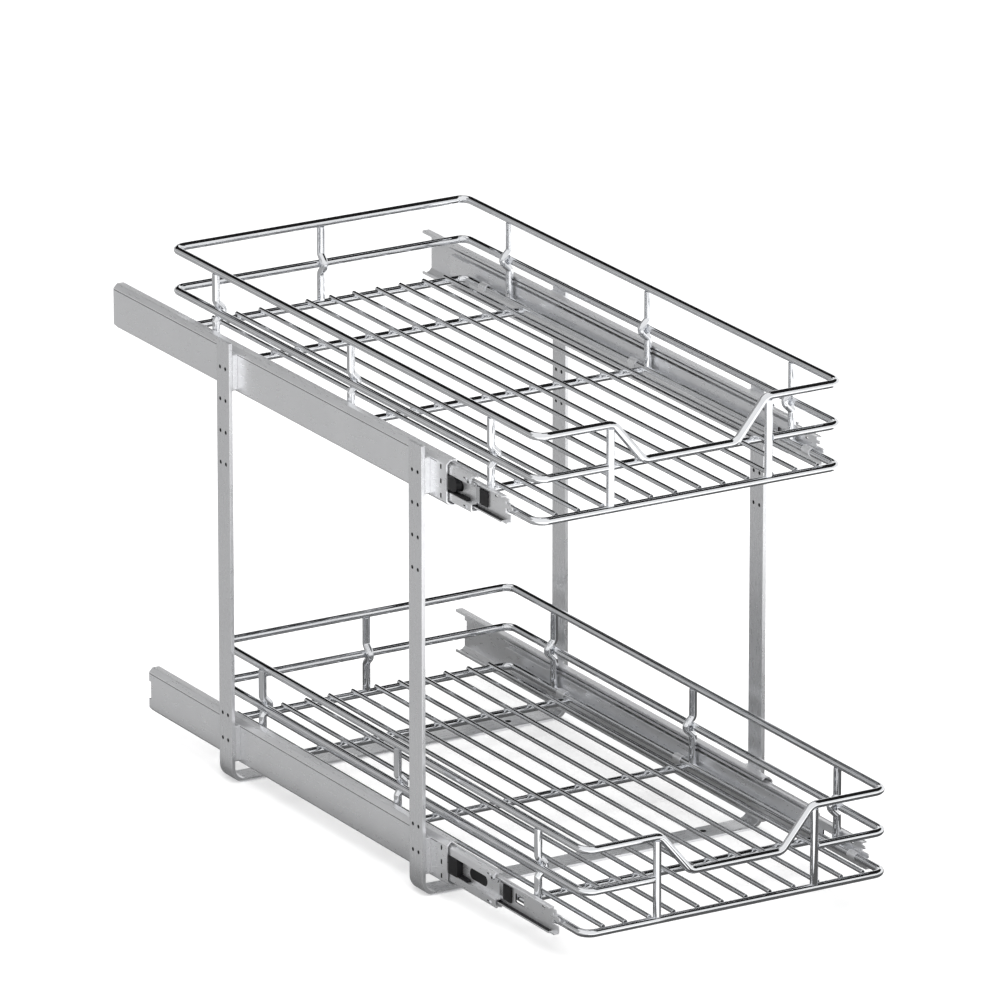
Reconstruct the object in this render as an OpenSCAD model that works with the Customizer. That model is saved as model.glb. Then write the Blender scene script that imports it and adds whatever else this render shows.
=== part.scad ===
// Two-tier pull-out cabinet basket. Two wire baskets ride on ball-bearing slides
// that hang between two floor-standing U-shaped frames.
// X runs across the cabinet, Y goes back into it and Z is up. The origin is on the
// cabinet floor, in the middle of the four floor-screw holes. Left and right are as
// seen from the front, which faces -Y. The baskets are drawn partly pulled out.

/* [Baskets] */
// Width of a basket between the centre lines of its side rims
basket_w = 256; // [220:2:264]
// Depth of a basket between the centre lines of its front and rear rims
basket_d = 536; // [500:4:572]
// Height from one rim to the next
rim_step = 32; // [28:1:48]
// Wire of the rims and the uprights
rim_wire_d = 6; // [5:0.5:6.5]
// Wire of the floor, which runs front to back
floor_wire_d = 3.6; // [3:0.2:4.4]
// Wire of the cross members under the floor
cross_wire_d = 6; // [4.6:0.2:6.4]
// Number of floor wires
floor_wires = 12; // [6:1:14]
// Radius of the rim corners, at the wire's centre
corner_r = 9; // [8:1:24]
// Width of the finger dip at the top of the front rim
dip_top_w = 129; // [110:1:140]
// Width of the finger dip at its bottom
dip_bottom_w = 78; // [50:1:84]
// Depth of the finger dip
dip_depth = 31; // [16:1:31]

/* [Frames] */
// Width over the posts
frame_w = 296; // [288:1:340]
// Distance between the centre lines of the front and rear frames
frame_pitch = 285; // [240:5:330]
// Height of the posts
post_h = 349; // [347:1:400]
// Width of the flat bar
bar_w = 19; // [17:1:24]
// Thickness of the flat bar
bar_t = 3.2; // [2.6:0.1:3.4]
// Distance between the floor-screw holes of one frame
floor_hole_pitch = 200; // [150:10:220]
// Number of screw-hole rows that the upper slides can hang from
upper_rows = 4; // [1:1:6]
// Number of screw-hole rows that the lower slides can hang from
lower_rows = 2; // [1:1:4]

/* [Slides] */
// Length of the upper slides
upper_slide_l = 500; // [460:10:520]
// Length of the lower slides
lower_slide_l = 450; // [440:10:500]
// Height of the lower slides' centre line over the floor
lower_slide_z = 32; // [26:1:40]
// Height of the upper slides' centre line over the lower one
tier_step = 294; // [270:2:296]
// How far the slides stand out in front of the front frame's centre line
slide_overhang = 32.5; // [26:0.5:40]

/* [Position] */
// How far the upper basket is pulled out
upper_out = 71; // [0:1:500]
// How far the lower basket is pulled out
lower_out = 138; // [0:1:440]

/* [Hidden] */

$fn = 32;
chrome = "#d4d6da";
zinc = "#b4b6ba";
dark_strip = "#38383a";
black_plastic = "#1c1c1e";
bright_steel = "#e2e4e8";

// The two tiers, as the modules below take them
upper = "upper";
lower = "lower";

function slide_z(tier) = lower_slide_z + (tier == upper ? tier_step : 0);
function slide_l(tier) = tier == upper ? upper_slide_l : lower_slide_l;
function pulled(tier) = tier == upper ? upper_out : lower_out;

// Frames
bend_r = 12;
upper_row_pitch = 25;
lower_row_pitch = 20;
hole_pair = 8;
screw_hole_d = 3;
screw_d = 2.8;
screw_rise = 2;
screw_recess = 1;
floor_hole_r = 2.6;
through = 1;
post_in = frame_w / 2 - bar_t;
front_frame_y = -frame_pitch / 2;

// Slide members, as u (inwards from the outer rail's face) and v (up from the centre line)
rail_gap = 9.6;
rail_face = basket_w / 2 + rim_wire_d / 2 + rail_gap;
rail_front_y = front_frame_y - slide_overhang;
outer_t = 1.2;
outer_half = 17.5;
outer_reach = 9.2;
outer_lip = 2.1;
shoulder = 3.2;
bend_in = sqrt(2) - 1;
mid_t = 1.1;
mid_u = 2.2;
mid_half = 14;
mid_reach = 8.9;
mid_lip = 1.9;
mid_flange_t = 1.4;
mid_shoulder = 1.4;
recess_half = 7;
mid_web_u = 6.5;
mid_setback = 4;
inner_t = 1.1;
inner_u = 4.4;
inner_half = 10.05;
inner_web_u = 8;
inner_edge = 0.5;
outer_ball_r = 1.6;
inner_ball_r = 1.4;
ball_u = 5.8;
outer_ball_v = 15.1;
inner_ball_v = 11.25;
ball_clear = 0.1;
ball_pitch = 15;
cage_share = 0.42;
cage_t = 0.5;
cage_u = 1.45;
outer_cage_reach = 7.6;
cage_shoulder = 2;
inner_cage_u = 3.6;
inner_cage_reach = 7.5;
slot_w = 2;
slot_h = 3.8;
slot_setback = 7.7;
slot_step = 11;
notch_deep = 3;
notch_h = 14;

// Plastic pieces and hooks on the slides
stop_gap = 0.3;
stop_ahead = 12.8;
stop_inside = 15;
tongue_ahead = 25;
tongue_t = 1;
latch_l = 25;
latch_h = 8;
latch_setback = 30;
latch_gap = 0.1;
bumper_l = 16;
bumper_h = 12;
window_l = 12;
window_h = 7;
window_setback = 47;
tab_l = 9;
tab_h = 8;
hook_l = 10;
hook_wall = 1.2;
hook_foot_half = 3.6;
front_hook_setback = 5;
mid_hook_behind = 19;
rear_hook_setback = 30;
rear_hook_room = 29;
cut = 0.1;

// Baskets
rim_drop = 1;
basket_overhang = 37;
weld = 0.3;
bend_thin = 0.04;
bend_lap = 0.05;
dip_bend_r = 9;
jog_bend_r = 4;
jog_angle = 45;
upright_inset = 65.5;
dip_to_upright = 2.5;
front_upright_w = dip_top_w + 2 * dip_to_upright;
floor_margin = 17.1;
floor_edge_gap = 18.7;
floor_past_rear = 3.5;
cross_drop = 2;
rim_r = rim_wire_d / 2;
half_w = basket_w / 2;

function unit(v) = v / norm(v);
function rim_z(tier) = slide_z(tier) - rim_drop;
function basket_y(tier) = rail_front_y - basket_overhang - pulled(tier);
function travel(tier, share) = -pulled(tier) * share;
function turn(a, b, c) = acos(unit(b - a) * unit(c - b));
function setback(a, b, c, r) = r * tan(turn(a, b, c) / 2);
function both_signs(half) =
    concat(half, [for (i = [len(half) - 1:-1:0]) [half[i].x, -half[i].y]]);
function arc(centre, r, from, to, steps) =
    [for (i = [0:steps])
        let (angle = from + (to - from) * i / steps)
            centre + r * [cos(angle), sin(angle)]];

module straight(a, b, wire_d) {
    run = b - a;
    translate(a)
        rotate([0, acos(run.z / norm(run)), atan2(run.y, run.x)])
            cylinder(d = wire_d, h = norm(run));
}

// A bend at corner b. The wire is drawn a hair thinner there than on the straights
module bend(a, b, c, r, wire_d) {
    along = unit(b - a);
    out = unit(c - b);
    start = b - along * setback(a, b, c, r);
    side = unit(out - along * (out * along));
    centre = start + side * r;
    up = cross(along, side);
    multmatrix([[-side.x, along.x, up.x, centre.x],
                [-side.y, along.y, up.y, centre.y],
                [-side.z, along.z, up.z, centre.z],
                [0, 0, 0, 1]])
        rotate_extrude(angle = turn(a, b, c))
            translate([r, 0])
                circle(d = wire_d - bend_thin);
}

// A closed wire through the points, with the bend radius that belongs to each
module closed_wire(points, radii, wire_d) {
    n = len(points);
    for (i = [0:n - 1]) {
        before = points[(i + n - 1) % n];
        a = points[i];
        b = points[(i + 1) % n];
        c = points[(i + 2) % n];
        along = unit(b - a);
        straight(a + along * (setback(before, a, b, radii[i]) - bend_lap),
                 b - along * (setback(a, b, c, radii[(i + 1) % n]) - bend_lap), wire_d);
        bend(a, b, c, radii[(i + 1) % n], wire_d);
    }
}

// An open wire through the points, with one bend radius
module open_wire(points, r, wire_d) {
    last = len(points) - 1;
    for (i = [0:last - 1]) {
        a = points[i];
        b = points[i + 1];
        along = unit(b - a);
        back = i == 0 ? 0 : setback(points[i - 1], a, b, r) - bend_lap;
        fore = i == last - 1 ? 0 : setback(a, b, points[i + 2], r) - bend_lap;
        straight(a + along * back, b - along * fore, wire_d);
        if (i < last - 1)
            bend(a, b, points[i + 2], r, wire_d);
    }
}

// Frames -------------------------------------------------------------------

function frame_outline() =
    let (w = frame_w / 2, in = bend_r - bar_t)
        concat([[w, post_h]],
               arc([w - bend_r, bend_r], bend_r, 0, -90, 12),
               arc([bend_r - w, bend_r], bend_r, -90, -180, 12),
               [[-w, post_h], [bar_t - w, post_h]],
               arc([bend_r - w, bend_r], in, -180, -90, 12),
               arc([w - bend_r, bend_r], in, -90, 0, 12),
               [[w - bar_t, post_h]]);

// Heights of the screw-hole rows. They go down from the upper slides and up from the
// lower ones, and the post is plain in between
row_zs = concat([for (i = [0:upper_rows - 1]) slide_z(upper) + screw_rise - i * upper_row_pitch],
                [for (i = [0:lower_rows - 1]) slide_z(lower) + screw_rise + i * lower_row_pitch]);

module across_holes(y, zs, d) {
    for (z = zs, side = [-1, 1])
        translate([-frame_w / 2 - through, y + side * hole_pair / 2, z])
            rotate([0, 90, 0])
                cylinder(d = d, h = frame_w + 2 * through);
}

module u_frame(y) {
    difference() {
        translate([0, y + bar_w / 2, 0])
            rotate([90, 0, 0])
                linear_extrude(bar_w)
                    polygon(frame_outline());
        across_holes(y, row_zs, screw_hole_d);
        for (x = [-1, 1] * floor_hole_pitch / 2)
            translate([x, y, -through])
                cylinder(r = floor_hole_r, h = bar_t + 2 * through);
    }
}

module frame_front() color(zinc) u_frame(front_frame_y);
module frame_rear() color(zinc) u_frame(-front_frame_y);

// Slides -------------------------------------------------------------------

module on_side(side) {
    mirror([side == "right" ? 1 : 0, 0, 0])
        children();
}

module on_both_sides() {
    on_side("left") children();
    on_side("right") children();
}

// Draws a u-v section out along a slide, from front_y backwards
module along_slide(tier, front_y, length) {
    translate([-rail_face, front_y + length, slide_z(tier)])
        rotate([90, 0, 0])
            linear_extrude(length)
                children();
}

// A block in the slide's own u, y and v
module slide_block(tier, from, to) {
    translate([from.x - rail_face, from.y, from.z + slide_z(tier)])
        cube(to - from);
}

module spacers(tier) {
    flat_half = outer_half - shoulder;
    for (y = [-1, 1] * front_frame_y)
        difference() {
            slide_block(tier, [rail_face - post_in, y - bar_w / 2, -flat_half],
                        [0, y + bar_w / 2, flat_half]);
            across_holes(y, [slide_z(tier) + screw_rise], screw_hole_d);
        }
}

module screw(tier, y) {
    reach = frame_w / 2 - screw_recess;
    translate([-reach, y, slide_z(tier) + screw_rise])
        rotate([0, 90, 0]) {
            cylinder(d = screw_d, h = reach - rail_face + outer_t / 2);
            translate([0, 0, reach - rail_face])
                cylinder(d1 = screw_d, d2 = screw_d + 2 * outer_t, h = outer_t);
        }
}

module rail_screws(tier) {
    on_both_sides()
        for (y = [-1, 1] * front_frame_y, side = [-1, 1])
            screw(tier, y + side * hole_pair / 2);
}

function outer_section() = both_signs([
    [0, outer_half - shoulder],
    [shoulder, outer_half],
    [outer_reach, outer_half],
    [outer_reach, outer_half - outer_lip],
    [outer_reach - outer_t, outer_half - outer_lip],
    [outer_reach - outer_t, outer_half - outer_t],
    [shoulder + outer_t * bend_in, outer_half - outer_t],
    [outer_t, outer_half - shoulder - outer_t * bend_in],
]);

module ball_grooves(v, ball_r) {
    for (side = [-1, 1])
        translate([ball_u, side * v])
            circle(r = ball_r + ball_clear);
}

// Countersinks keep the screw heads out of the ball cage's way
module countersinks(tier) {
    sink_d = screw_hole_d + 2 * outer_t;
    for (y = [-1, 1] * front_frame_y, side = [-1, 1])
        translate([-rail_face, y + side * hole_pair / 2, slide_z(tier) + screw_rise])
            rotate([0, 90, 0])
                cylinder(d1 = screw_hole_d, d2 = sink_d, h = outer_t);
}

module outer_rail(tier) {
    difference() {
        along_slide(tier, rail_front_y, slide_l(tier))
            difference() {
                polygon(outer_section());
                ball_grooves(outer_ball_v, outer_ball_r);
            }
        countersinks(tier);
        for (v = [-1, 0, 1] * slot_step)
            slide_block(tier, [-through, rail_front_y + slot_setback - slot_w / 2, v - slot_h / 2],
                        [outer_t + cut, rail_front_y + slot_setback + slot_w / 2, v + slot_h / 2]);
        if (tier == lower)
            slide_block(tier, [-through, rail_front_y + slide_l(tier) - notch_deep, -notch_h / 2],
                        [outer_t + cut, rail_front_y + slide_l(tier) + through, notch_h / 2]);
    }
}

function mid_section() = both_signs([
    [mid_web_u, recess_half],
    [mid_u, recess_half],
    [mid_u, mid_half - mid_shoulder],
    [mid_u + mid_shoulder, mid_half],
    [mid_reach, mid_half],
    [mid_reach, mid_half - mid_lip],
    [mid_reach - mid_t, mid_half - mid_lip],
    [mid_reach - mid_t, mid_half - mid_flange_t],
    [mid_u + mid_t + mid_shoulder * 0.6, mid_half - mid_flange_t],
    [mid_u + mid_t, mid_half - mid_flange_t - mid_shoulder * 0.6],
    [mid_u + mid_t, recess_half + mid_t],
    [mid_web_u + mid_t, recess_half + mid_t],
]);

function mid_front_y(tier) = rail_front_y + mid_setback + travel(tier, 1 / 2);

// A slot with round ends through the middle rail's web
module latch_shape(tier, grow) {
    y = mid_front_y(tier) + latch_setback;
    r = latch_h / 2 + grow;
    flat = latch_l / 2 - latch_h / 2;
    translate([mid_web_u - rail_face, 0, slide_z(tier)]) {
        for (end = [-1, 1] * flat)
            translate([-grow, y + end, 0])
                rotate([0, 90, 0])
                    cylinder(r = r, h = mid_t + 2 * grow);
        translate([-grow, y - flat, -r + bend_thin])
            cube([mid_t + 2 * grow, 2 * flat, 2 * (r - bend_thin)]);
    }
}

module mid_rail(tier) {
    difference() {
        along_slide(tier, mid_front_y(tier), slide_l(tier) - 2 * mid_setback)
            difference() {
                polygon(mid_section());
                ball_grooves(outer_ball_v, outer_ball_r);
                ball_grooves(inner_ball_v, inner_ball_r);
            }
        latch_shape(tier, latch_gap);
    }
}

function inner_section() = both_signs([
    [inner_web_u, inner_half - inner_t],
    [inner_u, inner_half - inner_t],
    [inner_u, inner_half],
    [inner_web_u + inner_t - inner_edge, inner_half],
    [inner_web_u + inner_t, inner_half - inner_edge],
]);

function inner_front_y(tier) = rail_front_y - pulled(tier);

module inner_rail(tier) {
    y = inner_front_y(tier);
    web_to = inner_web_u + inner_t;
    difference() {
        along_slide(tier, y, slide_l(tier))
            difference() {
                polygon(inner_section());
                ball_grooves(inner_ball_v, inner_ball_r);
            }
        slide_block(tier, [inner_web_u - through, y + window_setback - window_l / 2, -window_h / 2],
                    [web_to + through, y + window_setback + window_l / 2, window_h / 2]);
    }
    slide_block(tier, [inner_web_u, y - tab_l, -tab_h / 2], [web_to, y, tab_h / 2]);
}

// Ball cages. At closed they sit in the middle of the slide, so a cage stays between
// its two rails over the whole travel
function cage_l(tier) = cage_share * slide_l(tier);
function cage_front_y(tier, share) =
    rail_front_y + (slide_l(tier) - cage_l(tier)) / 2 + travel(tier, share);
function ball_ys(tier, share) =
    let (count = floor(cage_l(tier) / ball_pitch), first = (cage_l(tier) - (count - 1) * ball_pitch) / 2)
        [for (i = [0:count - 1]) cage_front_y(tier, share) + first + i * ball_pitch];

function outer_cage_section() =
    let (half = outer_ball_v + cage_t / 2, top = half - cage_shoulder)
        both_signs([
            [cage_u, top],
            [cage_u + cage_shoulder, half],
            [outer_cage_reach, half],
            [outer_cage_reach, half - cage_t],
            [cage_u + cage_shoulder + cage_t * bend_in, half - cage_t],
            [cage_u + cage_t, top - cage_t * bend_in],
        ]);

module ball_windows(tier, share, v, ball_r) {
    for (y = ball_ys(tier, share), side = [-1, 1])
        translate([ball_u - rail_face, y, slide_z(tier) + side * v - cage_t])
            cylinder(r = ball_r + ball_clear, h = 2 * cage_t);
}

module outer_cage(tier) {
    difference() {
        along_slide(tier, cage_front_y(tier, 1 / 4), cage_l(tier))
            polygon(outer_cage_section());
        ball_windows(tier, 1 / 4, outer_ball_v, outer_ball_r);
    }
}

module inner_cage(tier) {
    y = cage_front_y(tier, 3 / 4);
    for (side = [-1, 1])
        difference() {
            slide_block(tier, [inner_cage_u, y, side * inner_ball_v - cage_t / 2],
                        [inner_cage_reach, y + cage_l(tier), side * inner_ball_v + cage_t / 2]);
            ball_windows(tier, 3 / 4, inner_ball_v, inner_ball_r);
        }
}

module balls(tier, share, v, ball_r) {
    for (y = ball_ys(tier, share), side = [-1, 1])
        translate([ball_u - rail_face, y, slide_z(tier) + side * v])
            sphere(r = ball_r);
}

module outer_balls(tier) {
    balls(tier, 1 / 4, outer_ball_v, outer_ball_r);
}

module inner_balls(tier) {
    balls(tier, 3 / 4, inner_ball_v, inner_ball_r);
}

// The outer rail's front stop fills the middle rail's recess, and its tongue runs on
// along the recess's floor
module front_stop(tier) {
    half = recess_half - stop_gap;
    inward = mid_web_u - stop_gap;
    slide_block(tier, [outer_t, rail_front_y - stop_ahead, -half],
                [inward, rail_front_y + stop_inside, half]);
    slide_block(tier, [mid_u + stop_gap, rail_front_y - tongue_ahead, -half],
                [inward, rail_front_y, tongue_t - half]);
}

module mid_bumper(tier) {
    slide_block(tier, [mid_web_u, mid_front_y(tier) - bumper_l, -bumper_h / 2],
                [mid_web_u + mid_t, mid_front_y(tier), bumper_h / 2]);
}

// A hook of the inner rail that closes round the bottom rim
module rim_hook(tier, y) {
    centre_u = rail_face - half_w;
    ring_r = rim_r + hook_wall;
    web_face = inner_web_u + inner_t;
    difference() {
        union() {
            translate([-half_w, y + hook_l / 2, rim_z(tier)])
                rotate([90, 0, 0])
                    cylinder(r = ring_r, h = hook_l);
            slide_block(tier, [web_face, y - hook_l / 2, -rim_drop - hook_foot_half],
                        [centre_u, y + hook_l / 2, hook_foot_half - rim_drop]);
        }
        translate([-half_w, y + hook_l, rim_z(tier)])
            rotate([90, 0, 0])
                cylinder(r = rim_r, h = 2 * hook_l);
        slide_block(tier, [web_face - ring_r, y - hook_l, -ring_r - rim_drop - through],
                    [web_face, y + hook_l, ring_r - rim_drop + through]);
    }
}

// The hooks keep clear of the feet of the side uprights. The rear one stands near the
// end of the rail or of the basket, whichever comes first
function hook_ys(tier) =
    let (rail_y = inner_front_y(tier), rim_y = basket_y(tier))
        [rail_y + front_hook_setback,
         rim_y + basket_d / 2 + mid_hook_behind,
         min(rail_y + slide_l(tier) - rear_hook_setback, rim_y + basket_d - rear_hook_room)];

module rim_hooks(tier) {
    on_both_sides()
        for (y = hook_ys(tier))
            rim_hook(tier, y);
}

module upper_spacers() color(zinc) on_both_sides() spacers(upper);
module lower_spacers() color(zinc) on_both_sides() spacers(lower);
module upper_rail_screws() color(bright_steel) rail_screws(upper);
module lower_rail_screws() color(bright_steel) rail_screws(lower);
module upper_left_outer_rail() color(zinc) on_side("left") outer_rail(upper);
module upper_right_outer_rail() color(zinc) on_side("right") outer_rail(upper);
module lower_left_outer_rail() color(zinc) on_side("left") outer_rail(lower);
module lower_right_outer_rail() color(zinc) on_side("right") outer_rail(lower);
module upper_front_stops() color(black_plastic) on_both_sides() front_stop(upper);
module lower_front_stops() color(black_plastic) on_both_sides() front_stop(lower);
module upper_left_mid_rail() color(zinc) on_side("left") mid_rail(upper);
module upper_right_mid_rail() color(zinc) on_side("right") mid_rail(upper);
module lower_left_mid_rail() color(zinc) on_side("left") mid_rail(lower);
module lower_right_mid_rail() color(zinc) on_side("right") mid_rail(lower);
module upper_left_latch() color(black_plastic) on_side("left") latch_shape(upper, 0);
module upper_right_latch() color(black_plastic) on_side("right") latch_shape(upper, 0);
module lower_left_latch() color(black_plastic) on_side("left") latch_shape(lower, 0);
module lower_right_latch() color(black_plastic) on_side("right") latch_shape(lower, 0);
module upper_left_bumper() color(black_plastic) on_side("left") mid_bumper(upper);
module upper_right_bumper() color(black_plastic) on_side("right") mid_bumper(upper);
module lower_left_bumper() color(black_plastic) on_side("left") mid_bumper(lower);
module lower_right_bumper() color(black_plastic) on_side("right") mid_bumper(lower);
module upper_left_inner_rail() color(zinc) on_side("left") inner_rail(upper);
module upper_right_inner_rail() color(zinc) on_side("right") inner_rail(upper);
module lower_left_inner_rail() color(zinc) on_side("left") inner_rail(lower);
module lower_right_inner_rail() color(zinc) on_side("right") inner_rail(lower);
module upper_left_outer_cage() color(dark_strip) on_side("left") outer_cage(upper);
module upper_right_outer_cage() color(dark_strip) on_side("right") outer_cage(upper);
module lower_left_outer_cage() color(dark_strip) on_side("left") outer_cage(lower);
module lower_right_outer_cage() color(dark_strip) on_side("right") outer_cage(lower);
module upper_left_outer_balls() color(bright_steel) on_side("left") outer_balls(upper);
module upper_right_outer_balls() color(bright_steel) on_side("right") outer_balls(upper);
module lower_left_outer_balls() color(bright_steel) on_side("left") outer_balls(lower);
module lower_right_outer_balls() color(bright_steel) on_side("right") outer_balls(lower);
module upper_left_inner_cage() color(dark_strip) on_side("left") inner_cage(upper);
module upper_right_inner_cage() color(dark_strip) on_side("right") inner_cage(upper);
module lower_left_inner_cage() color(dark_strip) on_side("left") inner_cage(lower);
module lower_right_inner_cage() color(dark_strip) on_side("right") inner_cage(lower);
module upper_left_inner_balls() color(bright_steel) on_side("left") inner_balls(upper);
module upper_right_inner_balls() color(bright_steel) on_side("right") inner_balls(upper);
module lower_left_inner_balls() color(bright_steel) on_side("left") inner_balls(lower);
module lower_right_inner_balls() color(bright_steel) on_side("right") inner_balls(lower);
module upper_rim_hooks() color(zinc) rim_hooks(upper);
module lower_rim_hooks() color(zinc) rim_hooks(lower);

// Baskets ------------------------------------------------------------------

// From a basket's own origin, in the middle of its front bottom rim, to its place
module in_basket(tier) {
    translate([0, basket_y(tier), rim_z(tier)])
        children();
}

module bottom_rim(tier) {
    in_basket(tier)
        closed_wire([[-half_w, 0, 0], [half_w, 0, 0], [half_w, basket_d, 0], [-half_w, basket_d, 0]],
                    [corner_r, corner_r, corner_r, corner_r], rim_wire_d);
}

// The middle rim is open at the front and butts against the front uprights
module mid_rim(tier) {
    end_x = front_upright_w / 2 + rim_r - weld;
    in_basket(tier)
        translate([0, 0, rim_step])
            open_wire([[-end_x, 0, 0], [-half_w, 0, 0], [-half_w, basket_d, 0],
                       [half_w, basket_d, 0], [half_w, 0, 0], [end_x, 0, 0]], corner_r, rim_wire_d);
}

module top_rim(tier) {
    in_basket(tier)
        translate([0, 0, 2 * rim_step])
            closed_wire([[-half_w, 0, 0],
                         [-dip_top_w / 2, 0, 0], [-dip_bottom_w / 2, 0, -dip_depth],
                         [dip_bottom_w / 2, 0, -dip_depth], [dip_top_w / 2, 0, 0],
                         [half_w, 0, 0], [half_w, basket_d, 0], [-half_w, basket_d, 0]],
                        [corner_r, dip_bend_r, dip_bend_r, dip_bend_r, dip_bend_r,
                         corner_r, corner_r, corner_r],
                        rim_wire_d);
}

// An upright that jogs round the inside of the middle rim and touches it at its bend
module jogged_upright(foot, inward) {
    jog = rim_wire_d - weld + jog_bend_r * (1 / cos(jog_angle) - 1);
    jog_h = jog / tan(jog_angle);
    up = [0, 0, 1];
    open_wire([foot + up * (rim_r - weld),
               foot + up * (rim_step - jog_h),
               foot + up * rim_step + inward * jog,
               foot + up * (rim_step + jog_h),
               foot + up * (2 * rim_step - rim_r + weld)], jog_bend_r, rim_wire_d);
}

module uprights(tier) {
    in_basket(tier) {
        for (side = [-1, 1]) {
            for (y = [upright_inset, basket_d / 2, basket_d - upright_inset])
                jogged_upright([side * half_w, y, 0], [-side, 0, 0]);
            translate([side * front_upright_w / 2, 0, rim_r - weld])
                cylinder(d = rim_wire_d, h = 2 * rim_step - rim_wire_d + 2 * weld);
        }
        jogged_upright([0, basket_d, 0], [0, -1, 0]);
    }
}

// The floor wires lie on the cross wires. They butt against the back of the front rim
// and run out over the rear one
floor_under = cross_wire_d / 2 - cross_drop - weld;

// The outermost floor wires stand closer to their neighbours than the others do
floor_xs = let (edge = half_w - floor_margin, inner = edge - floor_edge_gap, last = floor_wires - 3)
    concat([-edge], [for (i = [0:last]) inner * (2 * i / last - 1)], [edge]);

module basket_floor(tier) {
    front_y = sqrt(rim_r * rim_r - floor_under * floor_under) - weld;
    rear_y = basket_d + floor_past_rear;
    in_basket(tier)
        for (x = floor_xs)
            translate([x, rear_y, floor_under + floor_wire_d / 2])
                rotate([90, 0, 0])
                    cylinder(d = floor_wire_d, h = rear_y - front_y);
}

// The middle cross wire passes just behind the middle uprights
module cross_wires(tier) {
    reach = half_w - rim_r + weld;
    in_basket(tier)
        for (y = [basket_d / 6, basket_d / 2 + rim_wire_d, basket_d * 5 / 6])
            translate([-reach, y, -cross_drop])
                rotate([0, 90, 0])
                    cylinder(d = cross_wire_d, h = 2 * reach);
}

module upper_top_rim() color(chrome) top_rim(upper);
module upper_mid_rim() color(chrome) mid_rim(upper);
module upper_bottom_rim() color(chrome) bottom_rim(upper);
module upper_uprights() color(chrome) uprights(upper);
module upper_floor() color(chrome) basket_floor(upper);
module upper_cross_wires() color(chrome) cross_wires(upper);
module lower_top_rim() color(chrome) top_rim(lower);
module lower_mid_rim() color(chrome) mid_rim(lower);
module lower_bottom_rim() color(chrome) bottom_rim(lower);
module lower_uprights() color(chrome) uprights(lower);
module lower_floor() color(chrome) basket_floor(lower);
module lower_cross_wires() color(chrome) cross_wires(lower);

frame_front();
frame_rear();
upper_spacers();
lower_spacers();
upper_rail_screws();
lower_rail_screws();
upper_left_outer_rail();
upper_right_outer_rail();
lower_left_outer_rail();
lower_right_outer_rail();
upper_front_stops();
lower_front_stops();
upper_left_mid_rail();
upper_right_mid_rail();
lower_left_mid_rail();
lower_right_mid_rail();
upper_left_latch();
upper_right_latch();
lower_left_latch();
lower_right_latch();
upper_left_bumper();
upper_right_bumper();
lower_left_bumper();
lower_right_bumper();
upper_left_inner_rail();
upper_right_inner_rail();
lower_left_inner_rail();
lower_right_inner_rail();
upper_left_outer_cage();
upper_right_outer_cage();
lower_left_outer_cage();
lower_right_outer_cage();
upper_left_outer_balls();
upper_right_outer_balls();
lower_left_outer_balls();
lower_right_outer_balls();
upper_left_inner_cage();
upper_right_inner_cage();
lower_left_inner_cage();
lower_right_inner_cage();
upper_left_inner_balls();
upper_right_inner_balls();
lower_left_inner_balls();
lower_right_inner_balls();
upper_rim_hooks();
lower_rim_hooks();
upper_top_rim();
upper_mid_rim();
upper_bottom_rim();
upper_uprights();
upper_floor();
upper_cross_wires();
lower_top_rim();
lower_mid_rim();
lower_bottom_rim();
lower_uprights();
lower_floor();
lower_cross_wires();
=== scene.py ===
"""Two-tier pull-out cabinet basket: chromed wire baskets on ball-bearing slides,
hung between two U-shaped floor frames. Metres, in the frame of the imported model."""
import math

import bmesh
import bpy
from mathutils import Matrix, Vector


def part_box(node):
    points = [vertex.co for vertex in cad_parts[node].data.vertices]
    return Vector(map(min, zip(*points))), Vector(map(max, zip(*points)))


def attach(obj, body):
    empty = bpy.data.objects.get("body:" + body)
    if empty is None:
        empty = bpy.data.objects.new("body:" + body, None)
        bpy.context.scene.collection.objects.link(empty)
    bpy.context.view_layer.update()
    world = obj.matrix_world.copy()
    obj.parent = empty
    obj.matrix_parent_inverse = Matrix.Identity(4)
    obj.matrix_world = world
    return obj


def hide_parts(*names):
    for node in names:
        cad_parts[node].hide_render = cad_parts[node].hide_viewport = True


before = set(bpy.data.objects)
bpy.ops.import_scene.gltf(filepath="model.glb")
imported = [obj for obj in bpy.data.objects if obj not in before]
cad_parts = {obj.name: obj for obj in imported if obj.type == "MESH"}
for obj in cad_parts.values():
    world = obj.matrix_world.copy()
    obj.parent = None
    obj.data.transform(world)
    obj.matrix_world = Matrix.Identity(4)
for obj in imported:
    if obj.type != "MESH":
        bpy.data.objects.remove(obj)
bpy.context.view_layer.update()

# Rims -------------------------------------------------------------------------
# Hard-drawn steel wire, 6 mm thick, bent cold to three rims for each basket. The top
# rim dips at the front for the fingers and the middle one is open there. A basket is
# welded up first and then chromed as one piece.
MM = 0.001
TIERS = ("upper", "lower")
SIDES = ("left", "right")
RIM_WIRE = 6 * MM
RIM_R = RIM_WIRE / 2
CORNER_R = 9 * MM
DIP_TOP_W = 129 * MM
DIP_BOTTOM_W = 78 * MM
DIP_DEPTH = 31 * MM
DIP_BEND_R = 9 * MM
UPRIGHT_ROOM = 2.5 * MM
WELD = 0.3 * MM
RIM_SIDES = 24
CUT_EDGE = 0.3 * MM
CUT_ANGLE = 60


def add_node(tree, kind, inputs=None, **settings):
    """Adds a node. An input takes a value or another node's output."""
    node = tree.nodes.new(kind)
    for name, value in settings.items():
        setattr(node, name, value)
    for key, value in (inputs or {}).items():
        if isinstance(value, bpy.types.NodeSocket):
            tree.links.new(value, node.inputs[key])
        else:
            node.inputs[key].default_value = value
    return node


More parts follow.
